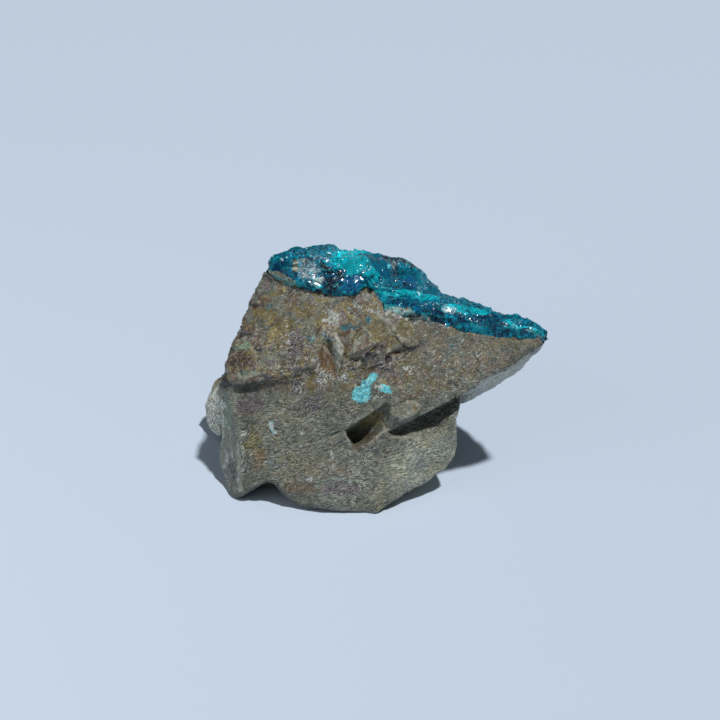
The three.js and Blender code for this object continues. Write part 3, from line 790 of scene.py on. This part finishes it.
def chisel(piece, blocks, operation):
    """Joins the blocks to the piece, or cuts them out of it."""
    for name, corners in blocks.items():
        block = hull(name, corners)
        make_active(piece)
        modifier = piece.modifiers.new(name, "BOOLEAN")
        modifier.operation = operation
        modifier.object = block
        modifier.solver = "EXACT"
        bpy.ops.object.modifier_apply(modifier=modifier.name)
        bpy.data.objects.remove(block)


def finish_piece(piece, node, material):
    """Gives the piece its material, puts it on the root body, and hides the CAD node it stands
    for.
    """
    piece.data.materials.clear()
    piece.data.materials.append(material)
    make_active(piece)
    bpy.ops.object.shade_smooth()
    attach(piece, "root")
    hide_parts(node)
    deselect_all()


# --- Materials --------------------------------------------------------------------------

# Settings that several nodes share.
COLOUR = {"data_type": "RGBA"}
TINT = {"data_type": "RGBA", "blend_type": "MULTIPLY"}
PLUS = {"operation": "ADD"}
MINUS = {"operation": "SUBTRACT"}
TIMES = {"operation": "MULTIPLY"}
SCALE = {"operation": "SCALE"}

# The mean of a pattern's three random numbers.
MEAN = (0.5, 0.5, 0.5)


def add(tree, kind, settings=None, **inputs):
    """Adds a node with its settings, and sets or links its inputs.

    An input goes by its name, with _ for a space, or by _0 and _1 where the names repeat.
    A node given as an input is linked from its first output in use.
    """
    node = tree.nodes.new("ShaderNode" + kind)
    for key, value in (settings or {}).items():
        setattr(node, key, value)
    in_use = [socket for socket in node.inputs if socket.enabled]
    names = [socket.name.replace(" ", "_") for socket in in_use]
    for key, value in inputs.items():
        socket = in_use[int(key[1:]) if key[0] == "_" else names.index(key)]
        if isinstance(value, bpy.types.Node):
            value = next(output for output in value.outputs if output.enabled)
        if isinstance(value, bpy.types.NodeSocket):
            tree.links.new(value, socket)
        else:
            socket.default_value = value
    return node


def per(size):
    """The scale of a pattern whose lumps or cells are about that many millimetres wide."""
    return 1 / (size * MM)


def new_material(name):
    material = bpy.data.materials.new(name)
    material.use_nodes = True
    tree = material.node_tree
    tree.nodes.clear()
    return material, tree


def flecks(tree, place, size):
    """Ragged flecks about that many millimetres wide, from 0 to 1."""
    lumps = add(tree, "TexNoise", Vector=place, Scale=per(size), Detail=3, Roughness=0.85)
    return add(tree, "MapRange", Value=lumps, From_Min=0.3, From_Max=0.7)


def grains_at_random(tree, place, size):
    """Three random numbers for each grain about that many millimetres wide."""
    cells = add(tree, "TexVoronoi", Vector=place, Scale=per(size))
    return add(tree, "SeparateColor", Color=cells.outputs["Color"]).outputs


def wandering(tree, place, size, reach):
    """Places shifted by noise, so that patterns drawn at them get ragged edges.

    The noise has lumps of that size, and shifts a place by up to half of the reach.
    """
    lumps = add(tree, "TexNoise", Vector=place, Scale=per(size), Detail=2)
    centred = add(tree, "VectorMath", MINUS, _0=lumps.outputs["Color"], _1=MEAN)
    shift = add(tree, "VectorMath", SCALE, _0=centred, Scale=reach * MM)
    return add(tree, "VectorMath", PLUS, _0=place, _1=shift)


def streaks(tree, place, length, width, rise, spread):
    """Streaks of that length and width along the leaning face, from 0 to 1.

    They rise to the right by that many degrees, and a smaller spread makes them sharper.
    """
    lean = Matrix.Rotation(math.pi / 2 - FACE_LEAN, 3, "X")
    turn = lean @ Matrix.Rotation(math.radians(rise), 3, "Z")
    drawn_out = add(
        tree, "Mapping", {"vector_type": "TEXTURE"}, Vector=place, Rotation=turn.to_euler(),
        Scale=(length * MM, width * MM, width * MM))
    lumps = add(tree, "TexNoise", Vector=drawn_out, Scale=1, Detail=2)
    return add(tree, "MapRange", Value=lumps, From_Min=0.5 - spread, From_Max=0.5 + spread)


def tilted_cells(tree, place, layers, scale=1.0):
    """A normal leaned at random in each small cell; each layer is a cell size and a tilt."""
    normal = add(tree, "NewGeometry").outputs["Normal"]
    for size, tilt in layers:
        cells = add(tree, "TexVoronoi", Vector=place, Scale=per(size))
        centred = add(tree, "VectorMath", MINUS, _0=cells.outputs["Color"], _1=MEAN)
        share = add(tree, "Math", TIMES, _0=scale, _1=tilt)
        lean = add(tree, "VectorMath", SCALE, _0=centred, Scale=share)
        normal = add(tree, "VectorMath", PLUS, _0=normal, _1=lean)
    return add(tree, "VectorMath", {"operation": "NORMALIZE"}, _0=normal)


def toned(tree, colour, pattern, low, high):
    """The colour made darker or lighter by a pattern, between those shares of itself."""
    share = add(tree, "MapRange", Value=pattern, To_Min=low, To_Max=high)
    return add(tree, "Mix", TINT, Factor=1, A=colour, B=share)


def stained(tree, name, pattern, gaps=None):
    """A painted stain's cover: broken up by the pattern at its rim, and thinner in its gaps."""
    paint = add(tree, "Attribute", {"attribute_name": name}).outputs["Fac"]
    ragged = add(
        tree, "MapRange", Value=pattern, From_Min=0.25, From_Max=0.75, To_Min=-0.5, To_Max=0.5)
    total = add(tree, "Math", PLUS, _0=paint, _1=ragged)
    cover = add(tree, "MapRange", Value=total, From_Min=0.5, From_Max=0.8)
    if gaps is None:
        return cover
    thinned = add(tree, "MapRange", Value=gaps, From_Min=0.25, From_Max=0.6, To_Min=0.5)
    return add(tree, "Math", TIMES, _0=cover, _1=thinned)


def picked(tree, name, pattern):
    """Flecks where the pattern is under half the painted layer."""
    paint = add(tree, "Attribute", {"attribute_name": name}).outputs["Fac"]
    half = add(tree, "Math", TIMES, _0=paint, _1=0.5)
    above = add(tree, "Math", MINUS, _0=half, _1=pattern)
    return add(tree, "MapRange", Value=above, From_Min=-0.03, From_Max=0.03)


def edged(tree, colour, rows):
    """The colour tinted along its edges, and darkened in its hollows and cracks as painted shade.

    Each row is a span of how far the surface stands out, the cover at its two ends, and a colour.
    """
    edge = add(tree, "Attribute", {"attribute_name": "edge"}).outputs["Fac"]
    for low, high, cover_low, cover_high, shade in rows:
        cover = add(
            tree, "MapRange", Value=edge, From_Min=low, From_Max=high, To_Min=cover_low,
            To_Max=cover_high)
        colour = add(tree, "Mix", COLOUR, Factor=cover, A=colour, B=linear(shade))
    return colour


def weathered_rock(colours):
    """Host rock as broken: fine-grained and olive-grey, with iron and manganese stains."""
    # Broken and weathered grain gives the eye a matt, crumbly face with light and dark chips.
    # Its grains are under 0.2 mm, too fine to show, so they are drawn at 0.26 to 0.46 mm.
    material, tree = new_material("weathered_host_rock")
    place = add(tree, "TexCoord").outputs["Object"]
    even, streaky, tone_and_painted_light = [
        add(tree, "Attribute", {"attribute_name": name}).outputs["Fac"]
        for name in ("even", "streaky", "tone_and_painted_light")
    ]

    # Grain, from the broadest patches to the smallest crumbs.
    broad = add(tree, "TexNoise", Vector=place, Scale=per(10), Detail=3, Roughness=0.6)
    mid = add(tree, "TexNoise", Vector=place, Scale=per(2.4), Detail=4, Roughness=0.65)
    fine = add(tree, "TexNoise", Vector=place, Scale=per(0.7), Detail=4, Roughness=0.7)
    ragged = wandering(tree, place, 0.8, 1.2)
    patch_light, patch_hue, _ = grains_at_random(tree, ragged, 1.1)
    combing = streaks(tree, wandering(tree, place, 6, 4), 1.35, 0.19, 14, 0.14)
    strokes = streaks(tree, ragged, 0.9, 0.24, 30, 0.2)
    big_flecks = flecks(tree, place, 0.46)
    small_flecks = flecks(tree, place, 0.34)
    crumbs, _, sheen = grains_at_random(tree, wandering(tree, place, 0.4, 0.35), 0.26)

    # Bare rock, with patches of other hues where it isn't streaky.
    share = add(tree, "MapRange", Value=broad, From_Min=0.35, From_Max=0.65)
    colour = add(tree, "Mix", COLOUR, Factor=share, A=colours.rock, B=linear("#787763"))
    share = add(tree, "MapRange", Value=mid, From_Min=0.42, From_Max=0.62)
    colour = add(tree, "Mix", COLOUR, Factor=share, A=colour, B=linear("#646a64"))
    mottled = add(tree, "MapRange", Value=streaky, To_Min=0.85, To_Max=0)
    for low, shade in ((0.3, "#7c7145"), (0.5, "#6c5b49"), (0.68, "#77706f"), (0.86, "#596057")):
        patch = add(tree, "MapRange", Value=patch_hue, From_Min=low, From_Max=low + 0.02)
        share = add(tree, "Math", TIMES, _0=patch, _1=mottled)
        colour = add(tree, "Mix", COLOUR, Factor=share, A=colour, B=linear(shade))

    # Stains in the grain, the chalk among them partly painted light, and a faint warm and cool
    # cast.
    for name, pattern in (
        ("chalk_and_painted_light", mid), ("olive", mid), ("rust", fine), ("purple", fine), ("orange", fine),
    ):
        cover = stained(tree, name, pattern, big_flecks)
        colour = add(tree, "Mix", COLOUR, Factor=cover, A=colour, B=getattr(colours, name))
    cast = add(tree, "Mix", COLOUR, Factor=fine, A=linear("#ffd8c8"), B=linear("#bfe0da"))
    colour = add(tree, "Mix", TINT, Factor=0.5, A=colour, B=cast)
    # The tone layer: the rock's own tone, with painted light and shade.
    colour = add(tree, "Mix", TINT, Factor=1, A=colour, B=tone_and_painted_light)

    # Light and dark grain: strong where broken, quiet on even facets, combed where streaky.
    broken = toned(tree, colour, patch_light, 0.8, 1.5)
    broken = toned(tree, broken, small_flecks, 0.28, 2)
    broken = toned(tree, broken, crumbs, 0.62, 1.45)
    quiet = toned(tree, colour, small_flecks, 0.85, 1.5)
    quiet = toned(tree, quiet, crumbs, 0.85, 1.2)
    combed = toned(tree, colour, small_flecks, 0.68, 1.4)
    combed = toned(tree, combed, combing, 0.4, 1.8)
    combed = toned(tree, combed, crumbs, 0.8, 1.25)
    share = add(tree, "Math", TIMES, _0=even, _1=0.8)
    colour = add(tree, "Mix", COLOUR, Factor=share, A=broken, B=quiet)
    colour = add(tree, "Mix", COLOUR, Factor=streaky, A=colour, B=combed)

    # Films of copper minerals, with frosted places.
    share = add(tree, "MapRange", Value=fine, From_Min=0.36, From_Max=0.62)
    frosted = add(tree, "Mix", COLOUR, Factor=share, A=colours.turquoise, B=linear("#88f4f8"))
    rim = add(tree, "Mix", Factor=0.5, A=fine, B=big_flecks)
    for name, shade in (("green", colours.green), ("turquoise", frosted)):
        cover = stained(tree, name, rim, small_flecks)
        film = toned(tree, shade, crumbs, 0.75, 1.25)
        colour = add(tree, "Mix", COLOUR, Factor=cover, A=colour, B=film)

    # Painted shade in the crease, in cracks and under ledges, loose flecks, pale edges that are
    # worn and on some lit ridges a painted highlight, and painted shade in the hollows.
    painted_shade_colour = toned(tree, linear("#35332f"), small_flecks, 0.6, 1.4)
    colour = add(tree, "Mix", COLOUR, Factor=stained(tree, "painted_shade", fine), A=colour, B=painted_shade_colour)
    for name, shade, pattern in (
        ("teal", "#1b6470", big_flecks), ("pale", "#bcc2bf", strokes),
        ("dark", "#251f27", small_flecks),
    ):
        cover = picked(tree, name, pattern)
        colour = add(tree, "Mix", COLOUR, Factor=cover, A=colour, B=linear(shade))
    # Pale where the edge stands out (worn, and a painted highlight on the listed lit ridges),
    # darker in the hollows as painted shade.
    colour = edged(tree, colour, [
        (0.01, 0.1, 0, 0.55, "#b0afa0"), (0.1, 0.25, 0, 0.7, "#d0ccba"),
        (-0.1, -0.02, 0.45, 0, "#2d2b27"),
    ])

    # Grain too small for the mesh: tilted crumbs, and ripples where streaky.
    tilted = tilted_cells(tree, place, [(0.7, 0.3), (0.3, 0.3)])
    share = add(tree, "Math", TIMES, _0=streaky, _1=0.5)
    ripples = add(tree, "Math", TIMES, _0=combing, _1=share)
    pits = add(tree, "Math", TIMES, _0=small_flecks, _1=0.5)
    height = add(tree, "Math", PLUS, _0=pits, _1=ripples)
    normal = add(
        tree, "Bump", Height=height, Distance=0.2 * MM, Strength=0.8, Normal=tilted)
    roughness = add(tree, "MapRange", Value=sheen, To_Min=0.3, To_Max=0.7)
    shader = add(
        tree, "BsdfPrincipled", Base_Color=colour, Roughness=roughness, IOR=1.54, Normal=normal)
    add(tree, "OutputMaterial", Surface=shader)
    return material


def glassy_chrysocolla(colours):
    """Chrysocolla as it grew: a glassy blue-green skin with a sparkling crystal druse."""
    # The clear skin over a deep body gives the eye a wet gloss, and the druse pinpoint glints.
    # Its crystals are 0.3 to 0.5 mm wide and are drawn at that size.
    material, tree = new_material("glassy_chrysocolla")
    place = add(tree, "TexCoord").outputs["Object"]
    glassy, druse, glint = [
        add(tree, "Attribute", {"attribute_name": name}).outputs["Fac"]
        for name in ("glassy", "druse", "glint")
    ]

    # Grain, from the broadest to the smallest crystals.
    mid = add(tree, "TexNoise", Vector=place, Scale=per(1.8), Detail=4, Roughness=0.6)
    fine = add(tree, "TexNoise", Vector=place, Scale=per(0.7), Detail=4, Roughness=0.7)
    ragged = wandering(tree, place, 0.6, 0.7)
    facet_light = grains_at_random(tree, ragged, 0.9)[0]
    clusters = flecks(tree, place, 0.9)
    gaps = flecks(tree, place, 0.44)
    specks = flecks(tree, place, 0.34)
    crumbs = grains_at_random(tree, wandering(tree, place, 0.4, 0.3), 0.3)[0]

    # The body, its bands, and stains that are thinner in the gaps between crystals.
    share = add(tree, "MapRange", Value=mid, From_Min=0.35, From_Max=0.65)
    colour = add(tree, "Mix", COLOUR, Factor=share, A=colours.crust, B=linear("#00667e"))
    for name in ("blue", "bright", "deep"):
        cover = stained(tree, name, mid)
        colour = add(tree, "Mix", COLOUR, Factor=cover, A=colour, B=getattr(colours, name))
    for name, shade, pattern in (
        ("brown", "#352b33", mid), ("black", "#05070f", fine), ("beige", "#77705a", fine),
        ("lilac", "#70797f", fine),
    ):
        cover = stained(tree, name, pattern, gaps)
        colour = add(tree, "Mix", COLOUR, Factor=cover, A=colour, B=linear(shade))
    clouds = add(tree, "MapRange", Value=fine, From_Min=0.3, From_Max=0.7)
    colour = toned(tree, colour, clouds, 0.7, 1.35)

    # Light and dark crystals: few in the glass, most in the druse.
    knobbly = toned(tree, toned(tree, colour, facet_light, 0.7, 1.35), crumbs, 0.3, 2)
    share = add(tree, "MapRange", Value=glassy, To_Min=1, To_Max=0.15)
    colour = add(tree, "Mix", COLOUR, Factor=share, A=colour, B=knobbly)
    speckled = toned(tree, colour, specks, 0.2, 2.6)
    share = add(tree, "MapRange", Value=druse, From_Max=0.6)
    colour = add(tree, "Mix", COLOUR, Factor=share, A=colour, B=speckled)
    crystal = add(tree, "Mix", COLOUR, Factor=clusters, A=linear("#86a9ac"), B=colours.crystal)
    cover = picked(tree, "druse", specks)
    colour = add(tree, "Mix", COLOUR, Factor=cover, A=colour, B=crystal)
    # Lighter along edges where the crust is thin, and darker in the hollows as painted shade.
    colour = edged(tree, colour, [
        (0.01, 0.1, 0, 0.5, "#10a9b2"), (-0.1, -0.01, 0.7, 0, "#001c33"),
    ])

    # Facets under a clear skin that sparkles, and whole crystal faces that glint.
    share = add(tree, "MapRange", Value=glassy, To_Min=1, To_Max=0.25)
    facets = tilted_cells(tree, ragged, [(0.9, 0.5), (0.35, 0.5)], share)
    sparkle = tilted_cells(tree, place, [(0.9, 0.35), (0.3, 1)], share)
    normal = add(tree, "Bump", Height=fine, Distance=0.2 * MM, Strength=0.6, Normal=facets)
    surface = add(tree, "NewGeometry").outputs["Normal"]
    skin = add(tree, "Mix", {"data_type": "VECTOR"}, Factor=glint, A=sparkle, B=surface)
    shader = add(
        tree, "BsdfPrincipled", Base_Color=colour, Roughness=0.4, IOR=1.5,
        Specular_IOR_Level=0.08, Normal=normal, Coat_Weight=0.5, Coat_Roughness=0.11,
        Coat_IOR=1.45, Coat_Normal=skin)
    add(tree, "OutputMaterial", Surface=shader)
    return material


def pale_board(colour):
    """Painted board: its matt face gives the eye soft, even light and clear shadows."""
    material, tree = new_material("pale_board")
    shader = add(tree, "BsdfPrincipled", Base_Color=colour, Roughness=0.85)
    add(tree, "OutputMaterial", Surface=shader)
    return material


# --- Operators --------------------------------------------------------------------------


class STONE_OT_host_rock(bpy.types.Operator):
    """Make the broken host rock"""

    bl_idname = "stone.host_rock"
    bl_label = "Host rock"

    def execute(self, context):
        shape = context.scene.stone_shape
        piece = merged_copy("host_rock", "host_rock_surface")
        chisel(piece, SHARDS, "UNION")
        chisel(piece, CHIPS, "DIFFERENCE")
        remesh(piece, shape.rock_mesh)
        surface = Surface(piece)
        self.meet_crust(surface)
        surface.flatten(size=3.6, share=0.45, spare=CHISELLED)
        surface.flatten(size=1.4, share=0.45, spare=CHISELLED)

        # Broken grain and grooves: lower where the rock is calm, and none at the floor.
        place = surface.place_on_face()
        across, up = place.T
        height = surface.points[:, 2] / MM
        front = surface.front()
        lower = smooth(up, *BELOW_CREASE_UP) * front
        wing = smooth(across, *WING_ACROSS) * smooth(up, *WING_UP) * front
        grain = surface.relief(ROCK_GRAIN)
        grain *= 1 - CALM_ROCK * np.maximum(lower, wing)
        groove = np.zeros(len(place))
        for line, width, depth in GROOVES:
            groove = np.maximum(groove, near_line(place, line, width) * depth * front)
        amount = grain * shape.break_depth - groove * MM
        amount *= smooth(height, *GRAIN_HEIGHT)
        surface.move(surface.normals * amount[:, None])
        surface.stand_on_floor()

        # Stains and flecks, of which the smooth facets get fewer, and painted bounce light: the
        # wing's underside, facing down, is painted pale with the chalk.
        place = surface.ragged_place()
        front = surface.front()
        painted_bounce_light = smooth(-surface.normals[:, 2], 0.1, 0.4)
        painted_bounce_light *= smooth(across, *UNDER_WING_ACROSS)
        painted_bounce_light *= smooth(height, *UNDER_WING_HEIGHT)
        even = painted(place, EVEN) * front
        surface.paint("even", even)
        for name, rows in ROCK_PAINT.items():
            cover = painted(place, rows) * front
            if name in ("pale", "dark"):
                cover *= 1 - FEWER_FLECKS * even
            # The chalk layer also takes the wing's underside: painted bounce light from the floor.
            if name == "chalk_and_painted_light":
                cover = np.maximum(cover, painted_bounce_light)
            surface.paint(name, cover)
        surface.paint("streaky", np.maximum(lower, wing * 0.5))
        # Tone, with painted light and shade: the lit left strip lighter, the crease and below the
        # chunk darker.
        surface.paint("tone_and_painted_light", USUAL_TONE + sum(Daub(*row).at(place) for row in TONES_AND_PAINTED_LIGHT))

        # Edges: strongest on the chiselled facets, and pale along some lines, worn and on lit
        # ridges a painted highlight. The hollows, where the edge layer is below 0, get painted
        # shade.
        place = surface.place_on_face()
        crisp = SOFT_EDGES + (1 - SOFT_EDGES) * painted(place, CHISELLED)
        edge = surface.bulge() * crisp
        for line, width, strength in WORN_AND_HIGHLIGHTED_EDGES:
            edge = np.maximum(edge, near_line(place, line, width) * strength * front)
        surface.paint("edge", edge)
        finish_piece(piece, "host_rock", weathered_rock(context.scene.stone_colours))
        return {"FINISHED"}

    @staticmethod
    def meet_crust(surface):
        """Raises the rock beside the crust's edge to the crust, as the two are grown together."""
        crust = Surface(bpy.data.objects["chrysocolla_crust_surface"])
        # Only the crust's front, and not what lies far behind the leaning face.
        seen = (crust.facing_out() > 0.45) & (crust.proud() > -5)
        heights = crust.proud()[seen]
        tree = KDTree(len(heights))
        for index, (across, up) in enumerate(crust.place_on_face()[seen]):
            tree.insert((across, up, 0), index)
        tree.balance()
        found = [tree.find((across, up, 0)) for across, up in surface.place_on_face()]
        gap = np.array([distance for _, _, distance in found])
        sunk = 0.1
        target = heights[[index for _, index, _ in found]] - sunk
        rise = np.maximum(target - surface.proud(), 0)
        # A higher step is drawn out further, to a ragged foot, and too high a one stays sharp.
        shortest = 0.6
        too_high = (3.2, 4.4)
        reach = np.maximum(1.2 + 0.7 * rise + 0.8 * surface.each(waves(3, 2)), shortest)
        share = (1 - smooth(gap / reach, 0.1, 1)) * (1 - smooth(rise, *too_high))
        share *= surface.facing_out() > 0
        surface.move(np.outer(rise * share * MM, FACE_OUT))


class STONE_OT_crust(bpy.types.Operator):
    """Make the chrysocolla crust"""

    bl_idname = "stone.crust"
    bl_label = "Chrysocolla crust"

    def execute(self, context):
        shape = context.scene.stone_shape
        piece = merged_copy("chrysocolla_crust", "chrysocolla_crust_surface")
        remesh(piece, shape.crust_mesh)
        surface = Surface(piece)
        self.seat(surface)
        surface.flatten(size=2.6, share=0.6)
        surface.flatten(size=1.1, share=0.6, spare=GLASSY)

        # Crystals and swells, lower in the glass.
        place = surface.place_on_face()
        front = surface.front()
        glassy = painted(place, GLASSY) * front
        druse = painted(place, CRUST_PAINT["druse"]) * front
        grain = surface.relief(CRUST_GRAIN)
        grain += surface.relief([DRUSE]) * druse
        amount = grain * ((1 - CALM_GLASS * glassy) * shape.druse_depth)
        for oval, height in SWELLS:
            amount += Daub(*oval).at(place) * front * height * MM
        surface.move(surface.normals * amount[:, None])

        surface.paint("glassy", glassy)
        surface.paint("glint", self.cut_glints(surface))
        place = surface.ragged_place()
        front = surface.front()
        for name, rows in CRUST_PAINT.items():
            surface.paint(name, painted(place, rows) * front)
        surface.paint("edge", surface.bulge())
        finish_piece(piece, "chrysocolla_crust", glassy_chrysocolla(context.scene.stone_colours))
        return {"FINISHED"}

    @staticmethod
    def seat(surface):
        """Draws the crust's underside down into the rock, so that no gap shows."""
        within = 1.2 * MM
        sink = 0.4 * MM
        least = 0.1 * MM
        rock = frame["nodes"]["host_rock"].data
        tree = BVHTree.FromPolygons(
            [v.co for v in rock.vertices], [p.vertices for p in rock.polygons])
        offsets = np.zeros_like(surface.points)
        for i, point in enumerate(surface.points):
            nearest, _, _, gap = tree.find_nearest(Vector(point))
            if gap < within:
                pull = min(1, (within - gap) / sink)
                offsets[i] = (nearest - Vector(point)) * pull * (1 + sink / max(gap, least))
        surface.move(offsets)

    @staticmethod
    def cut_glints(surface):
        """Cuts the crystal faces that catch the key light, and returns where they are."""
        facing = (KEY_DIRECTION.normalized() + FACE_OUT).normalized()
        place = surface.place_on_face()
        front = surface.facing_out() > 0.2
        offsets = np.zeros(len(place))
        cover = np.zeros(len(place))
        for row in GLINTS:
            inside = front & (Daub(*row).reach(place) < 1)
            if inside.any():
                # Only the crystals in front, and not the crust over a millimetre behind them.
                inside &= surface.proud() > surface.proud()[inside].max() - 1
                middle = surface.points[inside].mean(axis=0)
                gap = (middle - surface.points[inside]) @ np.array(facing)
                offsets[inside] = gap / FACE_OUT.dot(facing)
                cover[inside] = 1
        surface.move(np.outer(offsets, FACE_OUT))
        return cover


class STONE_OT_stage(bpy.types.Operator):
    """Make the floor, the lights and the camera"""

    bl_idname = "stone.stage"
    bl_label = "Stage"

    def execute(self, context):
        look = context.scene.stage_look
        deselect_all()
        bpy.ops.mesh.primitive_plane_add(size=FLOOR_WIDTH)
        floor = context.object
        floor.name = "floor"
        floor.data.materials.append(pale_board(look.floor))

        bpy.ops.object.light_add(
            type="SUN", rotation=KEY_DIRECTION.to_track_quat("Z", "Y").to_euler())
        key = context.object
        key.name = "key_light"
        key.data.energy = look.key_strength
        key.data.angle = look.key_angle
        key.data.color = look.key_colour[:3]

        place = on_face(*SIDE_LIGHT)
        away = place - on_face(*SIGHT)
        bpy.ops.object.light_add(
            type="AREA", location=place, rotation=away.to_track_quat("Z", "Y").to_euler())
        side = context.object
        side.name = "side_light"
        side.data.energy = look.side_power
        side.data.size = SIDE_LIGHT_WIDTH

        world = bpy.data.worlds.new("fill_light")
        world.use_nodes = True
        background = world.node_tree.nodes["Background"]
        background.inputs["Color"].default_value = look.fill_colour
        background.inputs["Strength"].default_value = look.fill_strength
        context.scene.world = world
        context.scene.view_settings.view_transform = "Standard"

        bpy.ops.object.camera_add(
            location=EYE, rotation=FACE_OUT.to_track_quat("Z", "Y").to_euler())
        camera = context.object
        camera.name = "camera"
        camera.data.angle = 2 * math.atan(FRAME_WIDTH / 2 / SIGHT_DISTANCE)
        camera.data.dof.use_dof = False
        context.scene.camera = camera
        return {"FINISHED"}


class STONE_PT_panel(bpy.types.Panel):
    """Lists the stone's sizes, colours, pieces and stage"""

    bl_label = "Raw chrysocolla"
    bl_idname = "STONE_PT_panel"
    bl_space_type = "VIEW_3D"
    bl_region_type = "UI"
    bl_category = "Stone"

    def draw(self, context):
        layout = self.layout
        scene = context.scene
        for group in (scene.stone_shape, scene.stone_colours, scene.stage_look):
            for name in group.bl_rna.properties.keys():
                if name not in ("rna_type", "name"):
                    layout.prop(group, name)
        for operator in OPERATORS:
            layout.operator(operator.bl_idname)


# The crust comes first, because the rock's edge is raised to it.
OPERATORS = (STONE_OT_crust, STONE_OT_host_rock, STONE_OT_stage)
CLASSES = (StoneShape, StoneColours, StageLook, *OPERATORS, STONE_PT_panel)


def register():
    for cls in CLASSES:
        bpy.utils.register_class(cls)
    bpy.types.Scene.stone_shape = PointerProperty(type=StoneShape)
    bpy.types.Scene.stone_colours = PointerProperty(type=StoneColours)
    bpy.types.Scene.stage_look = PointerProperty(type=StageLook)


def unregister():
    del bpy.types.Scene.stage_look
    del bpy.types.Scene.stone_colours
    del bpy.types.Scene.stone_shape
    for cls in reversed(CLASSES):
        bpy.utils.unregister_class(cls)


def main():
    register()
    bpy.ops.stone.crust()
    bpy.ops.stone.host_rock()
    bpy.ops.stone.stage()


if __name__ == "__main__":
    main()
